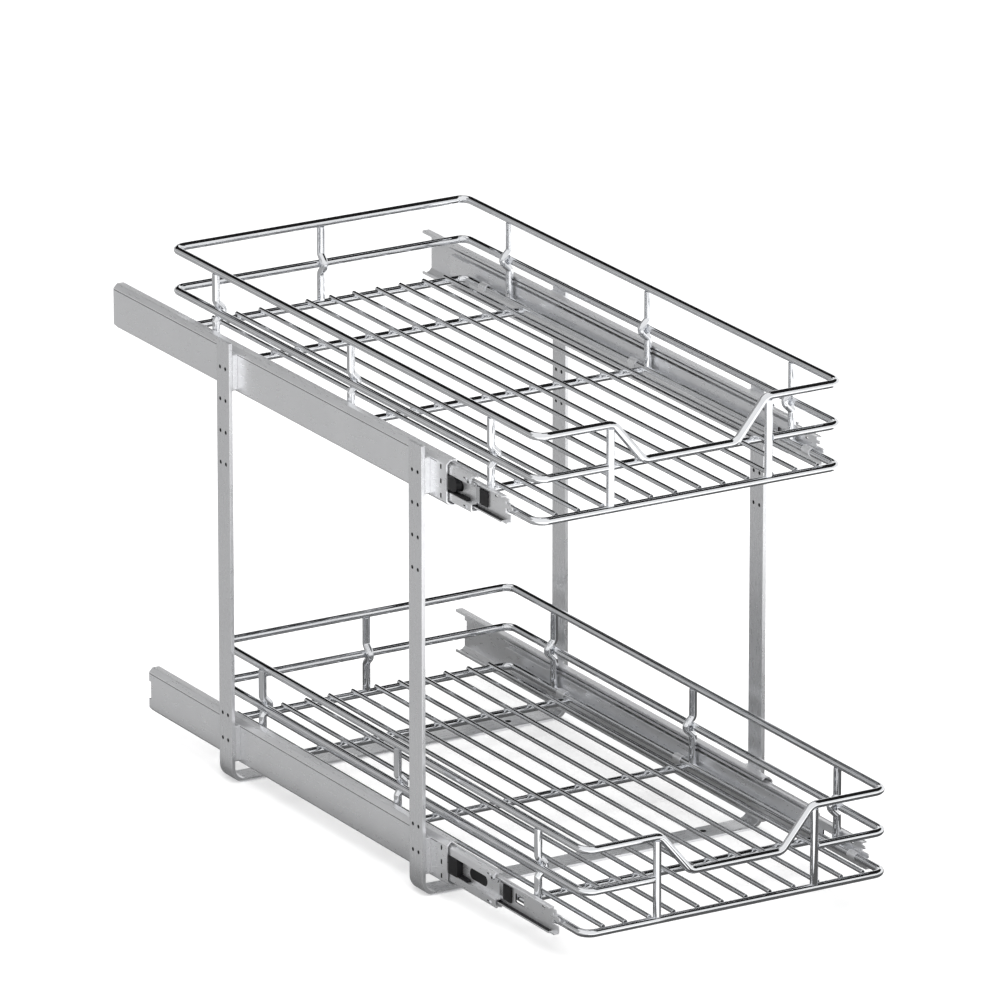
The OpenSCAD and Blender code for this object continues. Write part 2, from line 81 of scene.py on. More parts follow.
def new_group(name, kind, inputs, outputs):
    """A node group and the sockets of its two ends."""
    tree = bpy.data.node_groups.new(name, kind)
    for side, sockets in (("INPUT", inputs), ("OUTPUT", outputs)):
        for label, (socket_type, value) in sockets.items():
            socket = tree.interface.new_socket(label, in_out=side, socket_type=socket_type)
            if value is not None:
                socket.default_value = value
    return tree, tree.nodes.new("NodeGroupInput").outputs, tree.nodes.new("NodeGroupOutput").inputs


def surface_marks():
    """The marks that rolling, drawing and plating leave: long grain and soft clouds."""
    tree, given, result = new_group(
        "surface_marks", "ShaderNodeTree",
        {"Stretch": ("NodeSocketVector", (1, 1, 1)), "Grain Scale": ("NodeSocketFloat", 900),
         "Cloud Scale": ("NodeSocketFloat", 40)},
        {"Grain": ("NodeSocketFloat", None), "Cloud": ("NodeSocketFloat", None)})
    place = add_node(tree, "ShaderNodeTexCoord").outputs["Object"]
    stretched = add_node(tree, "ShaderNodeVectorMath", {0: place, 1: given["Stretch"]},
                         operation="MULTIPLY")
    grain = add_node(tree, "ShaderNodeTexNoise", {"Vector": stretched.outputs["Vector"],
                                                  "Scale": given["Grain Scale"], "Detail": 4.0})
    cloud = add_node(tree, "ShaderNodeTexNoise", {"Vector": place, "Scale": given["Cloud Scale"],
                                                  "Detail": 3.0})
    tree.links.new(grain.outputs["Fac"], result["Grain"])
    tree.links.new(cloud.outputs["Fac"], result["Cloud"])
    return tree


marks = surface_marks()


def new_material(name):
    """A material and its node tree."""
    material = bpy.data.materials.new(name)
    material.use_nodes = True
    return material, material.node_tree


def metal(name, dark, light, roughness, stretch, grain_scale, cloud_scale, grain_depth, bare=1.0):
    """A plated metal. dark and light are its colour's ends, roughness its two ends, and
    bare is how much of it shines as bare metal, the rest being the plating's matt film."""
    material, tree = new_material(name)
    shader = tree.nodes["Principled BSDF"]
    shader.inputs["Metallic"].default_value = bare
    marked = add_node(tree, "ShaderNodeGroup", {"Stretch": stretch, "Grain Scale": grain_scale,
                                                "Cloud Scale": cloud_scale}, node_tree=marks)
    colour = add_node(tree, "ShaderNodeMix",
                      {0: marked.outputs["Cloud"], 6: (*dark, 1), 7: (*light, 1)}, data_type="RGBA")
    tree.links.new(colour.outputs[2], shader.inputs["Base Color"])
    polish = add_node(tree, "ShaderNodeMapRange", {"Value": marked.outputs["Grain"],
                                                   "From Min": 0.3, "From Max": 0.7,
                                                   "To Min": roughness[0], "To Max": roughness[1]})
    tree.links.new(polish.outputs["Result"], shader.inputs["Roughness"])
    bump = add_node(tree, "ShaderNodeBump", {"Height": marked.outputs["Grain"], "Strength": 0.5,
                                             "Distance": grain_depth})
    tree.links.new(bump.outputs["Normal"], shader.inputs["Normal"])
    return material


chrome = metal("chrome_wire", (0.70, 0.71, 0.73), (0.86, 0.87, 0.89), (0.03, 0.08),
               stretch=(1, 1, 1), grain_scale=500, cloud_scale=60, grain_depth=0.006 * MM)


def wire_along_path():
    """A round wire that follows bare edges. bend_radius rounds each point, and swell
    thickens the wire there, as a weld does."""
    tree, given, result = new_group(
        "wire_along_path", "GeometryNodeTree",
        {"Path": ("NodeSocketGeometry", None), "Wire Diameter": ("NodeSocketFloat", RIM_WIRE),
         "Sides": ("NodeSocketInt", RIM_SIDES), "Bend Steps": ("NodeSocketInt", 8),
         "Material": ("NodeSocketMaterial", None)},
        {"Wire": ("NodeSocketGeometry", None)})
    curve = add_node(tree, "GeometryNodeMeshToCurve", {"Mesh": given["Path"]})
    swell = add_node(tree, "GeometryNodeInputNamedAttribute", {"Name": "swell"}, data_type="FLOAT")
    grown = add_node(tree, "ShaderNodeMath", {0: 1.0, 1: swell.outputs["Attribute"]}, operation="ADD")
    thick = add_node(tree, "GeometryNodeSetCurveRadius",
                     {"Curve": curve.outputs["Curve"], "Radius": grown.outputs["Value"]})
    bend = add_node(tree, "GeometryNodeInputNamedAttribute", {"Name": "bend_radius"}, data_type="FLOAT")
    bent = add_node(tree, "GeometryNodeFilletCurve",
                    {"Curve": thick.outputs["Curve"], "Count": given["Bend Steps"],
                     "Radius": bend.outputs["Attribute"]}, mode="POLY")
    radius = add_node(tree, "ShaderNodeMath", {0: given["Wire Diameter"], 1: 0.5}, operation="MULTIPLY")
    section = add_node(tree, "GeometryNodeCurvePrimitiveCircle",
                       {"Resolution": given["Sides"], "Radius": radius.outputs["Value"]})
    swept = add_node(tree, "GeometryNodeCurveToMesh",
                     {"Curve": bent.outputs["Curve"], "Profile Curve": section.outputs["Curve"],
                      "Fill Caps": True})
    real = add_node(tree, "GeometryNodeRealizeInstances", {"Geometry": swept.outputs["Mesh"]})
    painted = add_node(tree, "GeometryNodeSetMaterial",
                       {"Geometry": real.outputs["Geometry"], "Material": given["Material"]})
    tree.links.new(painted.outputs["Geometry"], result["Wire"])
    return tree


wire_tree = wire_along_path()


def new_piece(name, mesh):
    piece = bpy.data.objects.new(name, mesh)
    bpy.context.scene.collection.objects.link(piece)
    return piece


def run_tree(piece, tree, values):
    """Puts a node tree on a piece and sets its named inputs."""
    modifier = piece.modifiers.new(tree.name, "NODES")
    modifier.node_group = tree
    for item in tree.interface.items_tree:
        if item.in_out == "INPUT" and item.name in values:
            modifier[item.identifier] = values[item.name]


def keep_mesh(piece):
    """Makes what a piece's modifiers show its plain mesh."""
    graph = bpy.context.evaluated_depsgraph_get()
    mesh = bpy.data.meshes.new_from_object(piece.evaluated_get(graph), depsgraph=graph)
    piece.modifiers.clear()
    piece.data = mesh


def shade_smooth(mesh):
    for face in mesh.polygons:
        face.use_smooth = True


def settle(piece, edge, sharp, cutter=None):
    """Eases edges sharper than sharp degrees by a small bevel, takes the cutter away and
    keeps a plain mesh."""
    bevel = piece.modifiers.new("eased_edges", "BEVEL")
    bevel.width = edge
    bevel.segments = 2
    bevel.limit_method = "ANGLE"
    bevel.angle_limit = math.radians(sharp)
    if cutter:
        carve = piece.modifiers.new("cuts", "BOOLEAN")
        carve.object = cutter
        carve.operation = "DIFFERENCE"
        carve.solver = "EXACT"
        carve.material_mode = "TRANSFER"
    flat = piece.modifiers.new("flat_faces", "WEIGHTED_NORMAL")
    flat.keep_sharp = True
    keep_mesh(piece)


def dressed(piece, body, slot, *nodes):
    """Stands a finished piece in for its CAD nodes and lets it ride on its body."""
    if nodes:
        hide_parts(*nodes)
    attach(piece, body)


def wire_piece(name, paths, diameter, sides=RIM_SIDES):
    """Wires along paths. A path is a list of (point, bend radius, swell), and closed or not."""
    points, edges, bends, swells = [], [], [], []
    for path, closed in paths:
        first = len(points)
        points += [point for point, bend, swell in path]
        bends += [bend for point, bend, swell in path]
        swells += [swell for point, bend, swell in path]
        edges += [(first + i, first + i + 1) for i in range(len(path) - 1)]
        if closed:
            edges.append((len(points) - 1, first))
    mesh = bpy.data.meshes.new(name)
    mesh.from_pydata(points, edges, [])
    mesh.attributes.new("bend_radius", "FLOAT", "POINT").data.foreach_set("value", bends)
    mesh.attributes.new("swell", "FLOAT", "POINT").data.foreach_set("value", swells)
    piece = new_piece(name, mesh)
    run_tree(piece, wire_tree, {"Wire Diameter": diameter, "Sides": sides, "Material": chrome})
    settle(piece, CUT_EDGE, CUT_ANGLE)
    shade_smooth(piece.data)
    return piece


# Where a basket is: half its width, the y of its front and rear, and its rims' heights,
# all at the wire's centre
places = {}
for tier in TIERS:
    low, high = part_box(f"{tier}_bottom_rim")
    bottom_z = (low.z + high.z) / 2
    top_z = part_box(f"{tier}_top_rim")[1].z - RIM_R
    places[tier] = {"half_w": high.x - RIM_R, "front": low.y + RIM_R, "rear": high.y - RIM_R,
                    "bottom": bottom_z, "middle": (bottom_z + top_z) / 2, "top": top_z}


def level_path(corners, z, closed):
    """A path at one height that turns round the rims' corners."""
    return [(Vector((x, y, z)), CORNER_R, 0.0) for x, y in corners], closed


front_upright_x = DIP_TOP_W / 2 + UPRIGHT_ROOM
open_end = front_upright_x + RIM_R - WELD
for tier, at in places.items():
    basket = f"{tier}_basket"
    w, front, rear = at["half_w"], at["front"], at["rear"]

    around = [(-w, front), (w, front), (w, rear), (-w, rear)]
    bottom = wire_piece(f"{tier}_bottom_rim_wire", [level_path(around, at["bottom"], True)], RIM_WIRE)
    dressed(bottom, basket, "chrome_wire", f"{tier}_bottom_rim")

    past_dip = [(-open_end, front), (-w, front), (-w, rear), (w, rear), (w, front), (open_end, front)]
    middle = wire_piece(f"{tier}_mid_rim_wire", [level_path(past_dip, at["middle"], False)], RIM_WIRE)
    dressed(middle, basket, "chrome_wire", f"{tier}_mid_rim")

    top_z = at["top"]
    dip_z = top_z - DIP_DEPTH
    top_path = [(Vector((x, y, z)), bend, 0.0) for x, y, z, bend in (
        (-w, front, top_z, CORNER_R),
        (-DIP_TOP_W / 2, front, top_z, DIP_BEND_R), (-DIP_BOTTOM_W / 2, front, dip_z, DIP_BEND_R),
        (DIP_BOTTOM_W / 2, front, dip_z, DIP_BEND_R), (DIP_TOP_W / 2, front, top_z, DIP_BEND_R),
        (w, front, top_z, CORNER_R), (w, rear, top_z, CORNER_R), (-w, rear, top_z, CORNER_R))]
    top = wire_piece(f"{tier}_top_rim_wire", [(top_path, True)], RIM_WIRE)
    dressed(top, basket, "chrome_wire", f"{tier}_top_rim")

# Uprights -----------------------------------------------------------------------
# Short wires of the rims' own thickness between the bottom and the top rim. Those at
# the sides and the rear are bent inwards half-way, round the inside of the middle rim.
UP = Vector((0, 0, 1))
JOG_BEND_R = 4 * MM
UPRIGHT_INSET = 65.5 * MM
FLARE_H = 1.6 * MM
FLARE = 0.22


def flared(points, bend):
    """A path through the points with a weld's flare at both ends."""
    inner = [(point, bend, 0.0) for point in points[1:-1]]
    return [(points[0], 0.0, FLARE), (points[0] + UP * FLARE_H, 0.0, 0.0), *inner,
            (points[-1] - UP * FLARE_H, 0.0, 0.0), (points[-1], 0.0, FLARE)]


# The bend rounds off the jog's point and draws the wire back, so the point lies that much
# further in
jog = RIM_WIRE - WELD + JOG_BEND_R * (math.sqrt(2) - 1)
for tier, at in places.items():
    w, front, rear = at["half_w"], at["front"], at["rear"]
    step = at["middle"] - at["bottom"]
    feet = [(side * w, y, (-side, 0)) for side in (-1, 1)
            for y in (front + UPRIGHT_INSET, (front + rear) / 2, rear - UPRIGHT_INSET)]
    feet.append((0, rear, (0, -1)))
    paths = []
    for x, y, inward in feet:
        foot = Vector((x, y, at["bottom"]))
        paths.append((flared([foot + UP * (RIM_R - WELD), foot + UP * (step - jog),
                              foot + UP * step + Vector((*inward, 0)) * jog,
                              foot + UP * (step + jog), foot + UP * (2 * step - RIM_R + WELD)],
                             JOG_BEND_R), False))
    for side in (-1, 1):
        foot = Vector((side * front_upright_x, front, at["bottom"] + RIM_R - WELD))
        paths.append((flared([foot, foot + UP * (2 * step - RIM_WIRE + 2 * WELD)], 0.0), False))
    uprights = wire_piece(f"{tier}_upright_wires", paths, RIM_WIRE)
    dressed(uprights, f"{tier}_basket", "chrome_wire", f"{tier}_uprights")

# Floors -------------------------------------------------------------------------
# Twelve thin wires run front to back over three cross wires. They butt against the
# back of the front rim and run out over the rear one. Every crossing has a small weld.
FLOOR_WIRE = 3.6 * MM
CROSS_WIRE = 6 * MM
FLOOR_WIRES = 12
FLOOR_SIDES = 16
FLOOR_MARGIN = 17.1 * MM
FLOOR_EDGE_GAP = 18.7 * MM
CROSS_DROP = 2 * MM
BEAD_SIZE = (2.3 * MM, 2.4 * MM, 0.9 * MM)


def bead_on_points():
    """A small squashed weld on each point of the mesh."""
    tree, given, result = new_group(
        "weld_beads", "GeometryNodeTree",
        {"Points": ("NodeSocketGeometry", None), "Bead Size": ("NodeSocketVector", (1, 1, 1)),
         "Material": ("NodeSocketMaterial", None)},
        {"Beads": ("NodeSocketGeometry", None)})
    ball = add_node(tree, "GeometryNodeMeshIcoSphere", {"Radius": 1.0, "Subdivisions": 2})
    beads = add_node(tree, "GeometryNodeInstanceOnPoints",
                     {"Points": given["Points"], "Instance": ball.outputs["Mesh"],
                      "Scale": given["Bead Size"]})
    real = add_node(tree, "GeometryNodeRealizeInstances", {"Geometry": beads.outputs["Instances"]})
    painted = add_node(tree, "GeometryNodeSetMaterial",
                       {"Geometry": real.outputs["Geometry"], "Material": given["Material"]})
    tree.links.new(painted.outputs["Geometry"], result["Beads"])
    return tree


bead_tree = bead_on_points()


def beads_piece(name, points, size, material):
    mesh = bpy.data.meshes.new(name)
    mesh.from_pydata(points, [], [])
    piece = new_piece(name, mesh)
    run_tree(piece, bead_tree, {"Bead Size": size, "Material": material})
    keep_mesh(piece)
    shade_smooth(piece.data)
    return piece


def straight_path(start, end):
    return [(Vector(point), 0.0, 0.0) for point in (start, end)], False


for tier, at in places.items():
    basket = f"{tier}_basket"
    low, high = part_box(f"{tier}_floor")
    z = (low.z + high.z) / 2
    edge = at["half_w"] - FLOOR_MARGIN
    inner = edge - FLOOR_EDGE_GAP
    last = FLOOR_WIRES - 3
    xs = [-edge, *(inner * (2 * i / last - 1) for i in range(last + 1)), edge]
    paths = [straight_path((x, low.y, z), (x, high.y, z)) for x in xs]
    floor_wires = wire_piece(f"{tier}_floor_wires", paths, FLOOR_WIRE, sides=FLOOR_SIDES)
    dressed(floor_wires, basket, "chrome_wire", f"{tier}_floor")

    depth = at["rear"] - at["front"]
    cross_z = at["bottom"] - CROSS_DROP
    reach = at["half_w"] - RIM_R + WELD
    ys = [at["front"] + depth / 6, at["front"] + depth / 2 + RIM_WIRE, at["front"] + depth * 5 / 6]
    paths = [straight_path((-reach, y, cross_z), (reach, y, cross_z)) for y in ys]
    cross_wires = wire_piece(f"{tier}_cross_wire", paths, CROSS_WIRE)
    dressed(cross_wires, basket, "chrome_wire", f"{tier}_cross_wires")

    touch_z = z - FLOOR_WIRE / 2 + WELD / 2
    crossings = [(x, y, touch_z) for x in xs for y in ys]
    welds = beads_piece(f"{tier}_floor_welds", crossings, BEAD_SIZE, chrome)
    dressed(welds, basket, "chrome_wire")

# Frames -------------------------------------------------------------------------
# Each frame is one strip of 19 by 3.2 mm steel, bent to a U round 12 mm corners, with
# pairs of 3 mm holes drilled through its posts. It is nickel plated to a satin finish.
BAR_T = 3.2 * MM
FRAME_BEND_R = 12 * MM
FRAME_BEND_STEPS = 12
POST_HOLE_D = 3 * MM
HOLE_PAIR = 8 * MM
FLOOR_HOLE_D = 5.2 * MM
FLOOR_HOLE_PITCH = 200 * MM
FLOOR_HOLE_SIDES = 32
UPPER_ROW_PITCH = 25 * MM
LOWER_ROW_PITCH = 20 * MM
UPPER_ROWS = 4
LOWER_ROWS = 2
SCREW_RISE = 2 * MM
HOLE_SIDES = 20
BAR_EDGE = 0.45 * MM

satin = metal("satin_bar", (0.74, 0.745, 0.76), (0.82, 0.825, 0.84), (0.24, 0.36),
              stretch=(0.06, 1, 0.06), grain_scale=1400, cloud_scale=14,
              grain_depth=0.006 * MM, bare=0.8)
# Dark dull walls for every cut: painted shade inside holes, slots, windows and grooves.
painted_shade_wall = metal("painted_shade_wall", (0.03, 0.03, 0.032), (0.05, 0.05, 0.052), (0.5, 0.6),
                 stretch=(1, 1, 1), grain_scale=900, cloud_scale=30, grain_depth=0.01 * MM)


def rounded(corners, steps=5):
    """An outline through (a, b, radius) corners, each rounded by its radius."""
    outline = []
    for i, (a, b, radius) in enumerate(corners):
        corner = Vector((a, b))
        if radius == 0:
            outline.append(corner)
            continue
        before = (Vector(corners[i - 1][:2]) - corner).normalized()
        after = (Vector(corners[(i + 1) % len(corners)][:2]) - corner).normalized()
        half = before.angle(after) / 2
        centre = corner + (before + after).normalized() * (radius / math.sin(half))
        start = corner + before * (radius / math.tan(half)) - centre
        end = corner + after * (radius / math.tan(half)) - centre
        arc = [start.slerp(end, k / steps).normalized() for k in range(steps + 1)]
        outline += [centre + direction * radius for direction in arc]
    return outline


def circle(a, b, radius, sides=HOLE_SIDES):
    turns = [2 * math.pi * i / sides for i in range(sides)]
    return [Vector((a + radius * math.cos(t), b + radius * math.sin(t))) for t in turns]


def add_prism(mesh, outline, start, end, place):
    """Adds an outline drawn from start to end. place(a, b, depth) gives the point in space."""
    rings = [[mesh.verts.new(place(a, b, depth)) for a, b in outline] for depth in (start, end)]
    count = len(outline)
    mesh.faces.new(rings[0])
    mesh.faces.new(rings[1])
    for i in range(count):
        j = (i + 1) % count
        mesh.faces.new((rings[0][i], rings[0][j], rings[1][j], rings[1][i]))


def shaped(name, solids, cuts, material, edge, sharp=40):
    """A piece made of prisms, less the prisms in cuts, whose walls carry a dark painted
    shade. A prism is (outline, start, end, place)."""
    made = []
    for label, prisms, finish in ((name, solids, material), (f"{name}_cut", cuts, painted_shade_wall)):
        mesh = bmesh.new()
        for prism in prisms:
            add_prism(mesh, *prism)
        bmesh.ops.recalc_face_normals(mesh, faces=mesh.faces)
        data = bpy.data.meshes.new(label)
        mesh.to_mesh(data)
        mesh.free()
        shade_smooth(data)
        data.materials.append(finish)
        made.append(new_piece(label, data))
    piece, cutter = made
    settle(piece, edge, sharp, cutter if cuts else None)
    bpy.data.objects.remove(cutter)
    return piece


def along_x(a, b, depth):
    return Vector((depth, a, b))


def along_y(a, b, depth):
    return Vector((a, depth, b))


def along_z(a, b, depth):
    return Vector((a, b, depth))


slide_mid_z = {}
for tier in TIERS:
    low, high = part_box(f"{tier}_left_outer_rail")
    slide_mid_z[tier] = (low.z + high.z) / 2
row_zs = [slide_mid_z["upper"] + SCREW_RISE - i * UPPER_ROW_PITCH for i in range(UPPER_ROWS)]
row_zs += [slide_mid_z["lower"] + SCREW_RISE + i * LOWER_ROW_PITCH for i in range(LOWER_ROWS)]
for where in ("front", "rear"):
    low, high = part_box(f"frame_{where}")
    w, top = high.x, high.z
    inner_r = FRAME_BEND_R - BAR_T
    middle_y = (low.y + high.y) / 2
    strip = rounded([(w, top, 0), (w, 0, FRAME_BEND_R), (-w, 0, FRAME_BEND_R), (-w, top, 0),
                     (BAR_T - w, top, 0), (BAR_T - w, BAR_T, inner_r),
                     (w - BAR_T, BAR_T, inner_r), (w - BAR_T, top, 0)], steps=FRAME_BEND_STEPS)
    holes = [(circle(middle_y + side * HOLE_PAIR / 2, z, POST_HOLE_D / 2), -w - MM, w + MM, along_x)
             for z in row_zs for side in (-1, 1)]
    holes += [(circle(side * FLOOR_HOLE_PITCH / 2, middle_y, FLOOR_HOLE_D / 2, FLOOR_HOLE_SIDES),
               -MM, BAR_T + MM, along_z) for side in (-1, 1)]
    u_frame = shaped(f"{where}_frame_bar", [(strip, low.y, high.y, along_y)], holes, satin, BAR_EDGE)
    dressed(u_frame, "frame", "satin_bar", f"frame_{where}")

# Outer rails --------------------------------------------------------------------
# Roll-formed steel channels, 35 mm high, zinc plated. They are screwed to the posts
# through spacers, and stay where they are when a basket is pulled. The slides' own
# sizes, here and below, are in millimetres.
OUTER_HALF = 17.5
OUTER_REACH = 9.2
OUTER_LIP = 2.1
OUTER_T = 1.2
OUTER_EDGE_R = 0.4
SHOULDER = 3.2
BALL_U = 5.8
OUTER_BALL_V = 15.1
OUTER_GROOVE_R = 1.7
SLOT_BACK = 7.7
SLOT_STEP = 11
SLOT_W = 2
SLOT_H = 3.8
SLOT_CORNER_R = 0.6
LINE_BACK = 13.7
LINE_W = 0.5
LINE_DEEP = 0.35
NOTCH_DEEP = 3
NOTCH_H = 14
FOLD_R = 0.7
MARGIN = 1
SHEET_EDGE = 0.12 * MM

zinc = metal("zinc_slide", (0.82, 0.825, 0.84), (0.90, 0.905, 0.92), (0.26, 0.38),
             stretch=(1, 0.12, 1), grain_scale=900, cloud_scale=30,
             grain_depth=0.006 * MM, bare=0.8)


def slide_place(tier, side, front_y):
    """Points of a slide in millimetres: u inwards from the outer rail's face, v up from the
    slide's middle and y back from front_y."""
    low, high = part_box(f"{tier}_{side}_outer_rail")
    face, inward = (low.x, MM) if side == "left" else (high.x, -MM)
    middle = slide_mid_z[tier]
    return lambda u, v, y: Vector((face + inward * u, front_y + y * MM, middle + v * MM))


def across(place):
    """The same place for a prism that runs along u, its outline in y and v."""
    return lambda y, v, u: place(u, v, y)


def through(start, wall):
    """The reach of a cut that goes right through a wall."""
    return start - MARGIN, start + wall + MARGIN


def groove(u, v, radius, level, steps=6):
    """The arc of a ball groove that leaves the line at height level, from high u to low u."""
    half = math.acos(abs(v - level) / radius)
    sign = 1 if v < level else -1
    turns = [half * (1 - 2 * i / steps) for i in range(steps + 1)]
    return [(u + radius * math.sin(t), v + sign * radius * math.cos(t), 0) for t in turns]


def both_ways(corners):
    """A section from its upper half."""
    return rounded(corners + [(u, -v, radius) for u, v, radius in reversed(corners)], steps=4)


def box_outline(a_low, a_high, b_low, b_high, radius=0.0):
    return rounded([(a_low, b_low, radius), (a_high, b_low, radius), (a_high, b_high, radius),
                    (a_low, b_high, radius)])


def box_about(a, b, length, height, radius=0.0):
    """A box's outline about its middle."""
    return box_outline(a - length / 2, a + length / 2, b - height / 2, b + height / 2, radius)


def outer_section():
    level = OUTER_HALF - OUTER_T
    drop = OUTER_T * (math.sqrt(2) - 1)
    lip_v = OUTER_HALF - OUTER_LIP
    return both_ways([
        (0, OUTER_HALF - SHOULDER, FOLD_R), (SHOULDER, OUTER_HALF, FOLD_R),
        (OUTER_REACH, OUTER_HALF, OUTER_EDGE_R), (OUTER_REACH, lip_v, 0),
        (OUTER_REACH - OUTER_T, lip_v, 0), (OUTER_REACH - OUTER_T, level, 0),
        *groove(BALL_U, OUTER_BALL_V, OUTER_GROOVE_R, level),
        (SHOULDER + drop, level, 0), (OUTER_T, OUTER_HALF - SHOULDER - drop, 0)])


fold_v = OUTER_HALF - SHOULDER - FOLD_R
for tier in TIERS:
    for side in SIDES:
        node = f"{tier}_{side}_outer_rail"
        low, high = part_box(node)
        length = (high.y - low.y) / MM
        place = slide_place(tier, side, low.y)
        face = across(place)
        cuts = [(box_about(SLOT_BACK, v, SLOT_W, SLOT_H, SLOT_CORNER_R), *through(0, OUTER_T), face)
                for v in (-SLOT_STEP, 0, SLOT_STEP)]
        # A shallow groove under the upper fold whose dark walls are painted shade, drawn as the fold's
        # shadow line.
        fold_line = box_outline(LINE_BACK, length - MARGIN, fold_v - LINE_W, fold_v)
        cuts.append((fold_line, -MARGIN, LINE_DEEP, face))
        if tier == "lower":
            notch = box_outline(length - NOTCH_DEEP, length + MARGIN, -NOTCH_H / 2, NOTCH_H / 2)
            cuts.append((notch, *through(0, OUTER_T), face))
        rail = shaped(f"{node}_channel", [(outer_section(), 0, length, place)], cuts, zinc, SHEET_EDGE)
        dressed(rail, "frame", "zinc_slide", node)

# Spacers ------------------------------------------------------------------------
# Small zinc blocks between the posts and the outer rails, each with two screws through
# it. The screws stay as the model has them.
SPACER_CORNER_R = 1 * MM
SPACER_EDGE = 0.2 * MM
for tier in TIERS:
    low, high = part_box(f"{tier}_spacers")
    left_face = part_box(f"{tier}_left_outer_rail")[0].x
    right_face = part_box(f"{tier}_right_outer_rail")[1].x
    screw_z = slide_mid_z[tier] + SCREW_RISE
    blocks, bores = [], []
    for where in ("front", "rear"):
        frame_low, frame_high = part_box(f"frame_{where}")
        middle_y = (frame_low.y + frame_high.y) / 2
        outline = box_outline(frame_low.y, frame_high.y, low.z, high.z, SPACER_CORNER_R)
        for start, end in ((low.x, left_face), (right_face, high.x)):
            blocks.append((outline, start, end, along_x))
        for turn in (-1, 1):
            bore = circle(middle_y + turn * HOLE_PAIR / 2, screw_z, POST_HOLE_D / 2)
            bores.append((bore, low.x - MM, high.x + MM, along_x))
    spacers = shaped(f"{tier}_spacer_blocks", blocks, bores, zinc, SPACER_EDGE)
    dressed(spacers, "frame", "satin_bar", f"{tier}_spacers")

# Middle rails -------------------------------------------------------------------
# A narrower channel rides inside the outer one on balls. Its web is drawn in to a
# recess, and a plastic latch fills a round-ended window near its front. Two pressed
# lugs, a rivet and a thin clip sit at its front end.
MID_U = 2.2
MID_HALF = 14
MID_REACH = 8.9
MID_LIP = 1.9
MID_T = 1.1
MID_FLANGE_T = 1.4
MID_SHOULDER = 1.4
MID_INNER_SHOULDER = 0.84
MID_EDGE_R = 0.4
MID_LIP_R = 0.3
RECESS_HALF = 7
MID_WEB_U = 6.5
INNER_BALL_V = 11.25
INNER_GROOVE_R = 1.5
LATCH_BACK = 30
LATCH_L = 25
LATCH_H = 8
LATCH_GAP = 0.1
DIMPLE_BACK = 9
DIMPLE_V = 10.6
DIMPLE_L = 3.4
DIMPLE_H = 1.0
LUG_U = 1.4
LUG_FRONT = 4.4
LUG_REAR = 7.1
LUG_DOWN = 1
LUG_UP = 1.2
LUG_R = 0.3
RIVET_BACK = 2.9
RIVET_V = 9.2
RIVET_R = 2.3
RIVET_SIDES = 24
RIVET_HOLE_R = RIVET_R / 2.2
RIVET_HOLE_SIDES = 16
RIVET_HOLE_DEEP = 0.6
STUD_SINK = 0.1
STUD_EDGE = 0.15 * MM
CLIP_L = 4.6
CLIP_LAP = 0.3
CLIP_HALF = 6.2
CLIP_T = 1
EAR_LAP = 0.1
EAR_LOW = 7.4
EAR_HIGH = 10.4
EAR_R = 0.8

bright = metal("bright_steel", (0.66, 0.67, 0.69), (0.80, 0.81, 0.83), (0.10, 0.2),
               stretch=(1, 1, 1), grain_scale=800, cloud_scale=90, grain_depth=0.005 * MM)


def mid_section():
    inner_level = MID_HALF - MID_FLANGE_T
    inside_u = MID_U + MID_T
    lip_v = MID_HALF - MID_LIP
    return both_ways([
        (MID_WEB_U, RECESS_HALF, MID_EDGE_R), (MID_U, RECESS_HALF, 0),
        (MID_U, MID_HALF - MID_SHOULDER, MID_EDGE_R), (MID_U + MID_SHOULDER, MID_HALF, MID_EDGE_R),
        *reversed(groove(BALL_U, OUTER_BALL_V, OUTER_GROOVE_R, MID_HALF)),
        (MID_REACH, MID_HALF, MID_LIP_R), (MID_REACH, lip_v, 0),
        (MID_REACH - MID_T, lip_v, 0), (MID_REACH - MID_T, inner_level, 0),
        *groove(BALL_U, INNER_BALL_V, INNER_GROOVE_R, inner_level),
        (inside_u + MID_INNER_SHOULDER, inner_level, 0),
        (inside_u, inner_level - MID_INNER_SHOULDER, 0),
        (inside_u, RECESS_HALF + MID_T, 0), (MID_WEB_U + MID_T, RECESS_HALF + MID_T, MID_EDGE_R)])


def stadium(a, b, length, height, sides=12):
    """A slot's outline with round ends."""
    radius = height / 2
    flat = length / 2 - radius
    turns = [math.pi * i / sides for i in range(sides + 1)]
    right = [Vector((a + flat + radius * math.sin(t), b + radius * math.cos(t))) for t in turns]
    left = [Vector((a - flat - radius * math.sin(t), b - radius * math.cos(t))) for t in turns]
    return right + left


